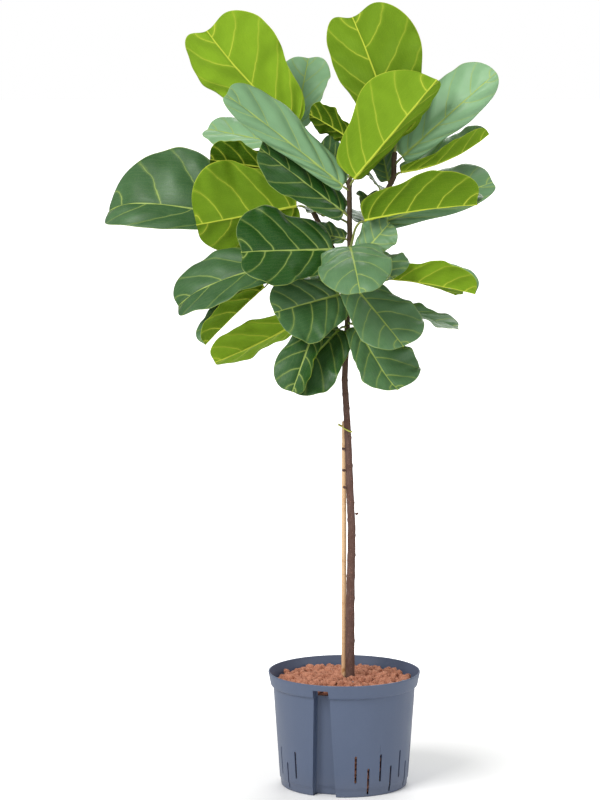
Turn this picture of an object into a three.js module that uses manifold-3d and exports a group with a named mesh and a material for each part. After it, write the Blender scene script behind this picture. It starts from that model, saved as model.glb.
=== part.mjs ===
// Potted fiddle leaf fig: a young branched tree in a plastic culture pot filled with clay granules.
// Millimetres, +Z up, origin on the pot axis at the floor, the fullest side of the crown facing -Y.
import * as THREE from 'three';
import { mergeVertices } from 'three/addons/utils/BufferGeometryUtils.js';
import Module from 'manifold-3d';

const wasm = await Module();
wasm.setup();

// ---------------------------------------------------------------- driving sizes
const potRimRadius = 125;        // outside of the rim, at the top
const potHeight = 190;
const potFootRadius = 103;       // outside, standing on the floor
const wall = 2.4;                // moulded wall and floor
const rimBand = 21;              // height of the flared band below the lip
const rimFlare = 8;              // how far the band stands out from the tapering body
const slotWidth = 3.6;
const slotHeight = 46;
const slotPitch = 23.3;          // degrees between neighbouring slots of one row
const channelHeading = -19;      // the recess for a water level stick, degrees from -Y
const channelTopWidth = 26;
const channelFootWidth = 40;
const channelDepth = 18;
const granuleDrop = 10;          // granules below the lip, at the middle
const granuleMound = 6;          // the middle of the bed above its edge
const stemHeight = 824;          // from the granules to the end of the middle shoot
const trunkRadius = 7.6;         // at the granules
const shootRadius = 4.2;         // at the end of every shoot
const rootDepth = 60;            // trunk below the granules
const caneRadius = 4.3;
const caneHeight = 424;          // above the granules
const caneDepth = 110;
const tieWire = 1.1;             // radius of the wire
const leafThickness = 1.4;
const petioleRadius = 2.2;
const gap = 0.3;                 // clearance between two pieces that touch
const joinTolerance = 0.01;      // edges shorter than this vanish where solids are joined

// ---------------------------------------------------------------- sizes that follow
const round = 48;                                    // facets round the pot
const granuleLevel = potHeight - granuleDrop;
const plantScale = stemHeight / 824;                 // the plant grows as a whole
const bandFoot = potHeight - rimBand;
const bodyTopRadius = potRimRadius - rimFlare;

const materials = {
  pot: { color: 0x5f6c87, roughness: 0.55 },
  clay: { color: 0xc4704f, roughness: 0.95 },
  cane: { color: 0xd7a05a, roughness: 0.6 },
  tie: { color: 0xb6b84a, roughness: 0.5 },
  bark: { color: 0x6a4f48, roughness: 0.85 },
  leaf: { color: 0x3f7350, roughness: 0.5 },
};
const group = new THREE.Group();
group.name = 'potted_fiddle_leaf_fig';

// ---------------------------------------------------------------- small helpers
const rad = (degrees) => (degrees * Math.PI) / 180;
const mix = (a, b, k) => a + (b - a) * k;

/** Unit vector with a heading (0 = toward -Y, 90 = toward +X) and a rise above the horizontal. */
function direction(heading, rise) {
  const h = rad(heading);
  const e = rad(rise);
  return new THREE.Vector3(Math.cos(e) * Math.sin(h), -Math.cos(e) * Math.cos(h), Math.sin(e));
}

/** A manifold solid from a closed triangle geometry. */
function solid(geometry) {
  const bare = new THREE.BufferGeometry();
  bare.setAttribute('position', geometry.getAttribute('position'));
  if (geometry.index) bare.setIndex(geometry.index);
  const merged = mergeVertices(bare, 1e-4);
  const kept = [];
  const index = merged.index.array;
  for (let i = 0; i < index.length; i += 3) {
    const [a, b, c] = [index[i], index[i + 1], index[i + 2]];
    if (a !== b && b !== c && c !== a) kept.push(a, b, c);
  }
  return new wasm.Manifold(new wasm.Mesh({
    numProp: 3,
    vertProperties: new Float32Array(merged.getAttribute('position').array),
    triVerts: new Uint32Array(kept),
    tolerance: joinTolerance,
  }));
}

/** Adds a finished solid to the group as one named mesh. */
function addPiece(name, body, material) {
  const mesh = body.getMesh();
  const geometry = new THREE.BufferGeometry();
  geometry.setAttribute('position', new THREE.BufferAttribute(new Float32Array(mesh.vertProperties), 3));
  geometry.setIndex(new THREE.BufferAttribute(new Uint32Array(mesh.triVerts), 1));
  geometry.computeVertexNormals();
  const piece = new THREE.Mesh(geometry, new THREE.MeshStandardMaterial(materials[material]));
  piece.name = name;
  group.add(piece);
}

/** A turned solid about the pot axis from a list of [radius, height], starting and ending on it. */
function turned(profile) {
  const points = profile.map(([r, z]) => new THREE.Vector2(r, z));
  const geometry = new THREE.LatheGeometry(points, round);
  geometry.rotateX(Math.PI / 2);
  return solid(geometry);
}

/** A solid lofted through rings of equal count: side walls and two fanned ends. */
function lofted(rings) {
  const n = rings[0].length;
  const points = rings.flat();
  const faces = [];
  for (let i = 0; i + 1 < rings.length; i += 1) {
    for (let j = 0; j < n; j += 1) {
      const a = i * n + j;
      const b = i * n + ((j + 1) % n);
      faces.push(a, b, b + n, a, b + n, a + n);
    }
  }
  const last = (rings.length - 1) * n;
  for (let j = 1; j + 1 < n; j += 1) {
    faces.push(0, j + 1, j, last, last + j, last + j + 1);
  }
  return indexed(points, faces);
}

/** Geometry from points and a flat list of corner numbers. */
function indexed(points, faces) {
  const geometry = new THREE.BufferGeometry().setFromPoints(points);
  geometry.setIndex(faces);
  return geometry;
}

/** A round bar through points, with a radius at each; `closed` joins the end to the start. */
function bar(points, radii, sides, closed = false) {
  const count = points.length;
  const at = (i) => points[closed ? (i + count) % count : Math.min(Math.max(i, 0), count - 1)];
  let across = new THREE.Vector3(1, 0, 0);
  const rings = points.map((centre, i) => {
    const along = at(i + 1).clone().sub(at(i - 1)).normalize();
    across = closed ? new THREE.Vector3(0, 0, 1) : across;
    across = across.clone().addScaledVector(along, -across.dot(along)).normalize();
    const other = along.clone().cross(across);
    return Array.from({ length: sides }, (_, j) => {
      const turn = (j / sides) * 2 * Math.PI;
      return centre.clone()
        .addScaledVector(across, radii[i] * Math.cos(turn))
        .addScaledVector(other, radii[i] * Math.sin(turn));
    });
  });
  if (!closed) return solid(lofted(rings));
  const faces = [];
  for (let i = 0; i < count; i += 1) {
    for (let j = 0; j < sides; j += 1) {
      const [a, b] = [i * sides + j, i * sides + ((j + 1) % sides)];
      const [c, d] = [((i + 1) % count) * sides + j, ((i + 1) % count) * sides + ((j + 1) % sides)];
      faces.push(a, b, d, a, d, c);
    }
  }
  return solid(indexed(rings.flat(), faces));
}

// ---------------------------------------------------------------- pot
// Injection-moulded culture pot: tapering body, flared rim band, a recess down the front for a
// water level stick and two staggered rows of drainage slots.

/** Outside radius of the tapering body at a height. */
const bodyRadius = (z) => mix(potFootRadius + 2, bodyTopRadius, z / bandFoot);

const outside = turned([
  [0, 0],
  [potFootRadius - 1.4, 0],
  [potFootRadius + 0.5, 1.5],
  [potFootRadius + 1.7, 12],
  [bodyRadius(14), 14],
  [bodyRadius(bandFoot - 5), bandFoot - 5],
  [potRimRadius - 4, bandFoot],
  [potRimRadius, potHeight - 1.5],
  [potRimRadius - 0.8, potHeight],
  [0, potHeight],
]);

/** The hollow of the pot, shrunk by `clearance`, up to a height with a given middle. */
function hollow(clearance, edgeHeight, middleHeight) {
  const floor = wall + clearance;
  const inside = (z) => bodyRadius(z) - wall - clearance;
  const bandInside = (z) => mix(potRimRadius - 4, potRimRadius, (z - bandFoot) / rimBand) - wall - clearance;
  return turned([
    [0, floor],
    [inside(floor), floor],
    [inside(bandFoot - 5), bandFoot - 5],
    [bandInside(bandFoot), bandFoot],
    [bandInside(edgeHeight), edgeHeight],
    [bandInside(edgeHeight) * 0.6, mix(edgeHeight, middleHeight, 0.75)],
    [0, middleHeight],
  ]);
}

/** The recess at the front as a tapering block, grown by `clearance` on its sides, back and top. */
function recess(clearance) {
  const out = direction(channelHeading, 0);
  const right = new THREE.Vector3(-out.y, out.x, 0);
  const top = potHeight - granuleDrop + clearance;
  const corner = (side, reach, z) => new THREE.Vector3(0, 0, z)
    .addScaledVector(out, reach)
    .addScaledVector(right, side);
  const ring = (z, height, width) => {
    const back = bodyRadius(height) - channelDepth - clearance;
    const reach = potRimRadius + 20;
    const half = width / 2 + clearance;
    return [corner(-half, back, z), corner(-half, reach, z), corner(half, reach, z), corner(half, back, z)];
  };
  return solid(lofted([
    ring(-5, 0, channelFootWidth),
    ring(top, top, channelTopWidth),
  ]));
}

/** An upright slot through the wall at a heading. */
function slot(heading, low, high, width, reach) {
  const box = new THREE.BoxGeometry(width, reach, high - low);
  box.translate(0, -bodyRadius((low + high) / 2), (low + high) / 2);
  box.rotateZ(rad(heading));
  return solid(box);
}

let pot = outside.subtract(recess(0));
pot = pot.subtract(hollow(0, potHeight + 3, potHeight + 3).subtract(recess(wall)));
const firstSlot = 28.5;
const upperLow = 24;
const lowerLow = wall + 1.6;
for (let k = 0; k < 7; k += 1) {
  for (const side of [-1, 1]) {
    const heading = channelHeading + side * (firstSlot + slotPitch * k);
    pot = pot.subtract(slot(heading, upperLow, upperLow + slotHeight, slotWidth, 16));
  }
}
for (let k = 0; k < 13; k += 1) {
  const heading = channelHeading + firstSlot + slotPitch * (k + 0.5);
  pot = pot.subtract(slot(heading, lowerLow, lowerLow + slotHeight - 2, slotWidth, 16));
}
// the small window at the head of the recess
const windowBox = new THREE.BoxGeometry(channelTopWidth * 0.8, 12, 10);
windowBox.translate(0, -(bodyRadius(bandFoot) - channelDepth - wall / 2), potHeight - granuleDrop - 7);
windowBox.rotateZ(rad(channelHeading));
pot = pot.subtract(solid(windowBox));
addPiece('pot', pot, 'pot');

// ---------------------------------------------------------------- stems
// Woody stems as [x, y, height above the granules]; the two branches grow out of the trunk.
const stems = {
  trunk: [
    [9, 0, -rootDepth / plantScale], [10, 0, 120], [12, 0, 245], [5, 0, 410],
    [0, 0, 495], [4, 0, 585], [8, 0, 707], [7, 0, 824],
  ],
  left: [[4, 0, 620], [-16, 28, 700], [-58, 58, 775], [-70, 66, 805], [-69, 70, 882]],
  right: [
    [6, 0, 665], [26, 9, 720], [49, 18, 762], [69, 24, 802],
    [80, 27, 823], [80, 30, 850], [82, 30, 866],
  ],
};

/** Radius of a stem at a height: the trunk thins upward, the shoots are nearly even. */
function stemRadius(stem, height) {
  if (stem !== 'trunk') return shootRadius;
  return mix(trunkRadius, shootRadius, Math.min(Math.max(height / 620, 0), 1) ** 1.2);
}

/** Middle of a stem at a height above the granules. */
function stemPoint(stem, height) {
  const path = stems[stem];
  let i = 0;
  while (i < path.length - 2 && height > path[i + 1][2]) i += 1;
  const [a, b] = [path[i], path[i + 1]];
  const k = (height - a[2]) / (b[2] - a[2]);
  const at = new THREE.Vector3(mix(a[0], b[0], k), mix(a[1], b[1], k), height);
  return at.multiplyScalar(plantScale).add(new THREE.Vector3(0, 0, granuleLevel));
}

/** Direction of a stem at a height. */
function stemDirection(stem, height) {
  return stemPoint(stem, height + 1).sub(stemPoint(stem, height - 1)).normalize();
}

/** The whole path of a stem as points in the part's frame. */
const stemPath = (stem) => stems[stem].map((point) => stemPoint(stem, point[2]));

/** A stem as a solid, grown by `clearance` all round. */
function stemSolid(stem, clearance = 0) {
  const radii = stems[stem].map((point) => stemRadius(stem, point[2]) + clearance);
  const path = stemPath(stem);
  if (clearance > 0) path[0].z -= clearance;
  return bar(path, radii, 8);
}

const wood = stemSolid('trunk').add(stemSolid('left')).add(stemSolid('right'));
addPiece('stem', wood, 'bark');

// ---------------------------------------------------------------- cane and tie
// A bamboo cane pushed into the granules close behind the trunk, and a wire ring round the two.
const tieHeight = caneHeight - 10;
const trunkAtTie = stemPoint('trunk', tieHeight / plantScale);
const trunkAtTieRadius = stemRadius('trunk', tieHeight / plantScale);
const caneX = trunkAtTie.x - 5.5;
const caneY = Math.sqrt((trunkAtTieRadius + caneRadius + 3 * gap) ** 2 - 5.5 ** 2);

/** The cane as a solid, grown by `clearance`. */
function caneSolid(clearance) {
  const low = new THREE.Vector3(caneX, caneY, granuleLevel - caneDepth - clearance);
  const high = new THREE.Vector3(caneX, caneY, granuleLevel + caneHeight);
  return bar([low, high], [caneRadius + clearance, caneRadius + clearance], 10);
}
addPiece('support_cane', caneSolid(0), 'cane');

const tieLoop = Array.from({ length: 20 }, (_, i) => {
  const turn = (i / 20) * 2 * Math.PI;
  const u = new THREE.Vector2(Math.cos(turn), Math.sin(turn));
  const reachTrunk = u.x * trunkAtTie.x + u.y * trunkAtTie.y + trunkAtTieRadius;
  const reachCane = u.x * caneX + u.y * caneY + caneRadius;
  const [centre, r] = reachTrunk > reachCane
    ? [trunkAtTie, trunkAtTieRadius]
    : [new THREE.Vector3(caneX, caneY, 0), caneRadius];
  const out = r + tieWire + 2 * gap;
  const x = centre.x + out * u.x;
  return new THREE.Vector3(x, centre.y + out * u.y, granuleLevel + tieHeight - 0.5 * (x - caneX));
});
addPiece('plant_tie', bar(tieLoop, tieLoop.map(() => tieWire), 6, true), 'tie');

// ---------------------------------------------------------------- clay granules
// The bed of fired clay fills the pot, heaped a little at the middle, and holds trunk and cane.
const bed = hollow(gap, granuleLevel - granuleMound, granuleLevel)
  .subtract(recess(wall + gap))
  .subtract(stemSolid('trunk', gap))
  .subtract(caneSolid(gap));
addPiece('clay_granules', bed, 'clay');

// ---------------------------------------------------------------- leaves
// Every leaf: the stem and height it springs from, its stalk as [length, heading, rise] and a
// fiddle-shaped blade: length, width, heading, rise and roll of the midrib, `bend` and `tip` (how
// it turns down along its length and again near the end), `lean` (to its right), `w` (width of the
// left and right half), `fold` (each half lifted at the midrib), `curl` (each half rolling on up
// to its margin), `skew` (right margin pushed forward), `egg` (fuller toward the tip), `notch`.
const usual = {
  roll: 0, bend: 0, tip: 0, lean: 0, w: [1, 1], fold: [8, 8], curl: [0, 0],
  skew: 0, egg: 0.2, waist: 0.12, notch: 0.04, lobe: 0.04,
};
const leaves = [
  { // top left, its underside to the front
    stem: 'left', from: 880, stalk: [26, -60, 60],
    length: 236, width: 160, heading: -88, rise: 41,
    roll: 75, bend: -8, tip: -10, lean: -12, w: [1.05, 0.9], fold: [4, 14], curl: [0, 20], skew: 0.12, egg: 0.28, notch: 0.1, lobe: 0,
  },
  { // top right, its underside to the front
    stem: 'right', from: 863, stalk: [25, 0, 70],
    length: 232, width: 158, heading: -90, rise: 75,
    roll: 82, bend: -12, lean: 12, w: [1.1, 0.8], curl: [0, 10], skew: 0.1, notch: 0.1, lobe: 0,
  },
  { // long one across the front of the left branch
    stem: 'trunk', from: 803, stalk: [16, -60, 35],
    length: 252, width: 122, heading: -78, rise: 40,
    roll: -50, bend: 5, w: [0.42, 0.88], fold: [-10, 5], curl: [-140, 0],
  },
  { // middle, folded, underside to the front
    stem: 'trunk', from: 811, stalk: [18, 40, 45],
    length: 222, width: 165, heading: 66, rise: 49,
    roll: -75, bend: -10, tip: -30, w: [0.75, 1], fold: [65, 4], curl: [20, 0], skew: -0.35,
  },
  { // upper right
    stem: 'right', from: 842, stalk: [20, 75, 45],
    length: 205, width: 130, heading: 82, rise: 43,
    roll: 50, bend: 2, w: [1, 0.5], fold: [4, -20], curl: [0, -110], notch: 0,
  },
  { // right, folded like a gutter
    stem: 'right', from: 824, stalk: [14, 75, 30],
    length: 165, width: 95, heading: 95, rise: 6,
    bend: -36, w: [1, 0.65], fold: [35, 55], egg: 0.3,
  },
  { // long right one, underside to the front
    stem: 'trunk', from: 712, stalk: [55, 50, 55],
    length: 205, width: 120, heading: 76, rise: 14,
    roll: -10, bend: 10, w: [0.8, 1.05], fold: [35, 65], notch: 0.08,
  },
  { // behind the long right one
    stem: 'right', from: 735, stalk: [28, 95, 30],
    length: 205, width: 140, heading: 100, rise: 19,
    roll: 35, w: [1, 0.4], fold: [0, -20], curl: [0, -50],
  },
  { // deep shade under leaf 3
    stem: 'trunk', from: 760, stalk: [14, -80, 40],
    length: 180, width: 115, heading: -80, rise: 38,
    roll: -32, fold: [0, 10], curl: [-20, 0],
  },
  { // left, underside to the front
    stem: 'left', from: 766, stalk: [26, -95, 14],
    length: 175, width: 165, heading: -95, rise: -11,
    roll: 85, w: [1.15, 0.75], fold: [5, 20],
  },
  { // large, left of the trunk
    stem: 'trunk', from: 701, stalk: [30, -72, 15],
    length: 180, width: 150, heading: -62, rise: 2,
    roll: -50, tip: 10, w: [0.95, 1.05], skew: -0.15, notch: 0.08,
  },
  { // drooping to the front
    stem: 'trunk', from: 710, stalk: [30, 0, 10],
    length: 175, width: 122, heading: 3, rise: -4,
    roll: 8, bend: 28, tip: 20, fold: [4, 4], curl: [-14, -14], egg: 0,
  },
  { // right, behind the drooping one
    stem: 'trunk', from: 688, stalk: [30, 60, 10],
    length: 66, width: 105, heading: 50, rise: -16,
    roll: 15, bend: 20,
  },
  { // upright, right of the trunk
    stem: 'trunk', from: 700, stalk: [22, 60, 2],
    length: 72, width: 66, heading: 95, rise: 48,
    roll: 60,
  },
  { // lower left of the trunk
    stem: 'trunk', from: 632, stalk: [18, -50, 10],
    length: 132, width: 130, heading: -56, rise: -8,
    roll: -55, bend: 5, w: [1.1, 0.75],
  },
  { // lower right of the trunk
    stem: 'trunk', from: 647, stalk: [12, 45, 10],
    length: 158, width: 114, heading: 38, rise: -32,
    roll: 20, bend: 5, w: [1.05, 0.95], curl: [-8, -8],
  },
  { // lower right, underside to the front
    stem: 'trunk', from: 650, stalk: [60, 98, 8],
    length: 158, width: 92, heading: 78, rise: -2,
    roll: -10, bend: 12, fold: [60, 56],
  },
  { // lower right, nearly edge-on
    stem: 'trunk', from: 616, stalk: [40, 90, 5],
    length: 152, width: 85, heading: 92, rise: -14,
    roll: 10, bend: 5,
  },
  { // lowest right, hanging
    stem: 'trunk', from: 588, stalk: [22, 45, -15],
    length: 140, width: 112, heading: 45, rise: -49,
    roll: 15, bend: -5, tip: -30, w: [1.15, 0.85],
  },
  { // lowest left, hanging
    stem: 'trunk', from: 582, stalk: [18, -45, -10],
    length: 145, width: 112, heading: -50, rise: -36,
    roll: -40, bend: 5, w: [1.05, 0.65], fold: [10, 8],
  },
  { // small, margin rolled, before the lowest left one
    stem: 'trunk', from: 595, stalk: [70, -48, -5],
    length: 122, width: 92, heading: -38, rise: -58,
    roll: -30, bend: 5, w: [0.9, 0.9], curl: [100, 0],
  },
  { // lower left, underside to the front
    stem: 'trunk', from: 614, stalk: [55, -100, -10],
    length: 195, width: 90, heading: -103, rise: -33,
    roll: 50, lean: -15, fold: [10, 30],
  },
  { // left, folded like a gutter
    stem: 'trunk', from: 667, stalk: [140, -85, -8],
    length: 145, width: 80, heading: -60, rise: -36,
    bend: 5, fold: [70, 30],
  },
  { // left, wavy
    stem: 'trunk', from: 690, stalk: [60, -90, 5],
    length: 248, width: 125, heading: -82, rise: -8,
    roll: -30, bend: 22, tip: 30,
  },
  { // farthest left
    stem: 'left', from: 740, stalk: [99, -128, 3],
    length: 292, width: 190, heading: -96, rise: 7,
    roll: -50, tip: 60, w: [0.55, 1.1], skew: -0.35, notch: 0,
  },
  { // behind, upper left
    stem: 'left', from: 815, stalk: [50, -98, 20],
    length: 110, width: 90, heading: -97, rise: 8,
    roll: 50,
  },
  { // behind, upper left
    stem: 'left', from: 858, stalk: [40, -120, 20],
    length: 145, width: 80, heading: -116, rise: 8,
    roll: -30,
  },
  { // behind the two top leaves
    stem: 'left', from: 878, stalk: [28, -140, 50],
    length: 142, width: 88, heading: 165, rise: 52,
  },
  { // behind leaf 4
    stem: 'trunk', from: 822, stalk: [64, 160, 77],
    length: 88, width: 80, heading: -115, rise: 32,
    roll: 50, bend: 10,
  },
  { // small, between leaf 3 and leaf 4
    stem: 'trunk', from: 807, stalk: [30, -150, 40],
    length: 90, width: 64, heading: -146, rise: 34,
    roll: -60, bend: 10,
  },
  { // small, behind leaf 4
    stem: 'right', from: 794, stalk: [20, -160, 20],
    length: 90, width: 58, heading: -178, rise: 5,
    roll: 40, bend: 10,
  },
  { // very young, on the right branch
    stem: 'right', from: 755, stalk: [16, -160, 30],
    length: 44, width: 50, heading: -175, rise: 45,
    bend: 10, fold: [40, 40],
  },
  { // young, on the right branch
    stem: 'right', from: 810, stalk: [14, -170, 30],
    length: 75, width: 50, heading: -165, rise: 46,
    roll: -40, bend: 10,
  },
  { // young, left of the trunk
    stem: 'trunk', from: 750, stalk: [25, -120, 20],
    length: 60, width: 45, heading: -115, rise: 15,
    roll: -10,
  },
  { // young, left of the trunk
    stem: 'trunk', from: 718, stalk: [16, -150, 20],
    length: 60, width: 50, heading: -108, rise: 10,
    roll: -40,
  },
  { // at the back of the crown
    stem: 'trunk', from: 658, stalk: [30, 175, 20],
    length: 180, width: 115, heading: 175, rise: 5,
    bend: 20,
  },
  { // at the back of the crown
    stem: 'trunk', from: 605, stalk: [30, -165, 10],
    length: 170, width: 105, heading: -165, rise: -5,
    bend: 20,
  },
  { // at the back of the crown
    stem: 'right', from: 735, stalk: [36, 170, 15],
    length: 180, width: 95, heading: 178, rise: 8,
    bend: 20,
  },
  { // at the back of the crown
    stem: 'left', from: 708, stalk: [35, -150, 20],
    length: 185, width: 125, heading: -152, rise: 5,
    bend: 25,
  },
  { // at the back of the crown
    stem: 'left', from: 795, stalk: [35, -165, 20],
    length: 190, width: 125, heading: -165, rise: 20,
    bend: 20,
  },
  { // at the back of the crown
    stem: 'trunk', from: 818, stalk: [42, 130, 55],
    length: 170, width: 90, heading: 160, rise: 35,
    bend: 20,
  },
  { // at the back of the crown
    stem: 'trunk', from: 652, stalk: [60, 140, 5],
    length: 175, width: 90, heading: 120, rise: -4,
    bend: 20,
  },
  { // at the back of the crown
    stem: 'trunk', from: 615, stalk: [40, -140, 25],
    length: 170, width: 105, heading: -138, rise: 12,
    bend: 20,
  },
];

/** Margin of the flat blade at t = 0 (base) to 1 (tip): distance along and out from the midrib. */
function margin(leaf, t) {
  const u = Math.sin((Math.PI * t) / 2) ** 2;
  const notch = leaf.notch * Math.exp(-(((1 - t) / 0.095) ** 2));
  const lobe = leaf.lobe * Math.exp(-(((t - 0.157) / 0.095) ** 2));
  const fullness = Math.sin(Math.PI * t) ** (0.61 + 0.34 * u) * (1 + leaf.egg * (2 * u - 1));
  const waist = 1 - leaf.waist * Math.exp(-(((u - 0.34) / 0.16) ** 2));
  return [leaf.length * (u - notch - lobe), 0.5 * leaf.width * fullness * waist];
}

/** Flat place of a point on the side vein that meets the margin at t, a share r out from the midrib. */
function flatPoint(leaf, t, r) {
  const [x, y] = margin(leaf, t);
  const root = leaf.length * (1 - leaf.notch) * Math.sin((Math.PI * t) / 2) ** 3.2;
  return [mix(root, x, r) - 0.22 * y * r * (1 - r), y * r];
}

/** Midrib of the blade at a share u of its length: place, side and upward directions. */
function spine(leaf, base, u) {
  const along = direction(leaf.heading, leaf.rise);
  const level = new THREE.Vector3(0, 0, 1).addScaledVector(along, -along.z).normalize();
  const aside = along.clone().cross(level);
  const roll = rad(leaf.roll);
  const up = level.clone().multiplyScalar(Math.cos(roll)).addScaledVector(aside, Math.sin(roll));
  const side = along.clone().cross(up);
  const turn = (v) => {
    const down = rad(leaf.bend) * v + rad(leaf.tip) * Math.min(Math.max((v - 0.55) / 0.45, 0), 2) ** 2;
    const level2 = along.clone().multiplyScalar(Math.cos(rad(leaf.lean) * v))
      .addScaledVector(side, Math.sin(rad(leaf.lean) * v));
    return {
      ahead: level2.clone().multiplyScalar(Math.cos(down)).addScaledVector(up, -Math.sin(down)),
      above: level2.clone().multiplyScalar(Math.sin(down)).addScaledVector(up, Math.cos(down)),
    };
  };
  const steps = 24;
  const place = base.clone();
  for (let i = 0; i < steps; i += 1) {
    place.addScaledVector(turn((u * (i + 0.5)) / steps).ahead, (leaf.length * u) / steps);
  }
  const end = turn(u);
  return { place, above: end.above, side: end.ahead.clone().cross(end.above) };
}

/** A point of the blade surface: side -1 left or 1 right, lifted off the middle surface. */
function bladePoint(leaf, base, t, r, side, lift) {
  const half = side < 0 ? 0 : 1;
  const [flatX, flatY] = flatPoint(leaf, t, r);
  const y = flatY * leaf.w[half];
  const x = flatX + leaf.skew * side * y * Math.min(Math.max(flatX / leaf.length, 0), 1) ** 2;
  const at = spine(leaf, base, x / leaf.length);
  const fold = rad(leaf.fold[half]);
  const curl = rad(leaf.curl[half]);
  const width = leaf.width / 2;
  const angle = fold + (curl * y) / width;
  const flat = Math.abs(curl) < 1e-3;
  const out = flat ? y * Math.cos(fold) : ((Math.sin(angle) - Math.sin(fold)) / curl) * width;
  const high = flat ? y * Math.sin(fold) : ((Math.cos(fold) - Math.cos(angle)) / curl) * width;
  if (r === 0) {
    // on the midrib the two halves meet in a mitre
    const [left, right] = leaf.fold.map(rad);
    const reach = lift / Math.cos((left + right) / 2);
    return at.place.clone()
      .addScaledVector(at.side, -reach * Math.sin((right - left) / 2))
      .addScaledVector(at.above, reach * Math.cos((right - left) / 2));
  }
  return at.place.clone()
    .addScaledVector(at.side, side * (out - lift * Math.sin(angle)))
    .addScaledVector(at.above, high + lift * Math.cos(angle));
}

/** The stalk as rings of four points (right, below, left, above), set out from the blade back to the stem. */
function stalkRings(path, side) {
  let across = side;
  return path.map((centre, i) => {
    const along = path[Math.min(i + 1, path.length - 1)].clone().sub(path[Math.max(i - 1, 0)]).normalize();
    along.negate();
    across = across.clone().addScaledVector(along, -across.dot(along)).normalize();
    const above = across.clone().cross(along);
    return [[across, 1], [above, -1], [across, -1], [above, 1]]
      .map(([way, sign]) => centre.clone().addScaledVector(way, sign * petioleRadius));
  }).reverse();
}

/**
 * A leaf as one closed solid. The blade is an upper and a lower sheet joined round their edge, and
 * the stalk's rings run in between the middle points of the blade's first row.
 */
function leafSolid(leaf, base, path) {
  const rows = 7;
  const across = Math.max(...leaf.curl.map(Math.abs)) > 60 ? 4 : 2;
  const columns = 2 * across + 1;
  const rings = stalkRings(path, spine(leaf, base, 0).side);
  const points = rings.flat();
  const faces = [0, 2, 1, 0, 3, 2];
  const quad = (a, b, c, d) => faces.push(a, b, c, a, c, d);
  // both sheets, row by row from the base to the tip
  const size = columns * (rows - 1) + 1;
  const first = points.length;
  for (const lift of [leafThickness / 2, -leafThickness / 2]) {
    for (let i = 1; i < rows; i += 1) {
      for (let j = -across; j <= across; j += 1) {
        points.push(bladePoint(leaf, base, i / rows, Math.abs(j) / across, j < 0 ? -1 : 1, lift));
      }
    }
    points.push(bladePoint(leaf, base, 1, 0, 1, lift));
  }
  const corner = (sheet, i, j) => first + sheet * size + (i === rows ? size - 1 : (i - 1) * columns + j);
  const edge = columns - 1;
  for (let i = 1; i < rows; i += 1) {
    for (let j = 0; j < edge; j += 1) {
      const [a, b] = [corner(0, i, j), corner(0, i, j + 1)];
      const [c, d] = [corner(0, i + 1, j + 1), corner(0, i + 1, j)];
      faces.push(a, b, c, a + size, c + size, b + size);
      if (c !== d) faces.push(a, c, d, a + size, d + size, c + size);
    }
    quad(corner(0, i, 0), corner(0, i + 1, 0), corner(1, i + 1, 0), corner(1, i, 0));
    quad(corner(0, i + 1, edge), corner(0, i, edge), corner(1, i, edge), corner(1, i + 1, edge));
  }
  // the blunt base of the blade, with the stalk's sides at its middle
  const right = points.length;
  const left = right + 1;
  const middle = spine(leaf, base, flatPoint(leaf, 1 / rows, 0)[0] / leaf.length);
  points.push(middle.place.clone().addScaledVector(middle.side, 0.9 * petioleRadius));
  points.push(middle.place.clone().addScaledVector(middle.side, -0.9 * petioleRadius));
  for (let j = 0; j < edge; j += 1) {
    const [a, b] = [corner(0, 1, j), corner(0, 1, j + 1)];
    if (j === across - 1) faces.push(left, b, a, left, a, a + size, left, a + size, b + size);
    else if (j === across) faces.push(right, b, a, right, b + size, b, right, a + size, b + size);
    else quad(b, a, a + size, b + size);
  }
  const last = [right, corner(1, 1, across), left, corner(0, 1, across)];
  for (let i = 0; i < rings.length; i += 1) {
    for (let j = 0; j < 4; j += 1) {
      const [a, b] = [4 * i + j, 4 * i + ((j + 1) % 4)];
      if (i + 1 < rings.length) quad(a, b, b + 4, a + 4);
      else quad(a, b, last[(j + 1) % 4], last[j]);
    }
  }
  return solid(indexed(points, faces));
}

leaves.forEach((row, i) => {
  const leaf = { ...usual, ...row };
  leaf.length *= plantScale;
  leaf.width *= plantScale;
  const [reach, heading, rise] = leaf.stalk;
  const away = direction(heading, rise);
  const root = stemPoint(leaf.stem, leaf.from);
  const base = root.clone().addScaledVector(away, reach * plantScale);
  const grain = stemDirection(leaf.stem, leaf.from);
  const across = away.clone().addScaledVector(grain, -away.dot(grain)).normalize();
  const bareWood = stemRadius(leaf.stem, leaf.from) + 3 * gap + petioleRadius * Math.abs(away.dot(grain));
  const start = root.clone().addScaledVector(across, bareWood);
  const leaving = start.clone().addScaledVector(away, 0.3 * reach * plantScale);
  const arriving = base.clone()
    .addScaledVector(direction(leaf.heading, leaf.rise), -0.4 * reach * plantScale);
  const curve = new THREE.CubicBezierCurve3(start, leaving, arriving, base);
  const path = [0.98, 0.75, 0.5, 0.25, 0].map((k) => curve.getPoint(k));
  addPiece(`leaf_${String(i + 1).padStart(2, '0')}`, leafSolid(leaf, base, path), 'leaf');
});

export default group;
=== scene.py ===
"""A potted fiddle leaf fig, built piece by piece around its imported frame.

Metres, +Z up, origin on the pot axis at the floor, the fullest side of the crown facing -Y.
"""
import math

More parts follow.
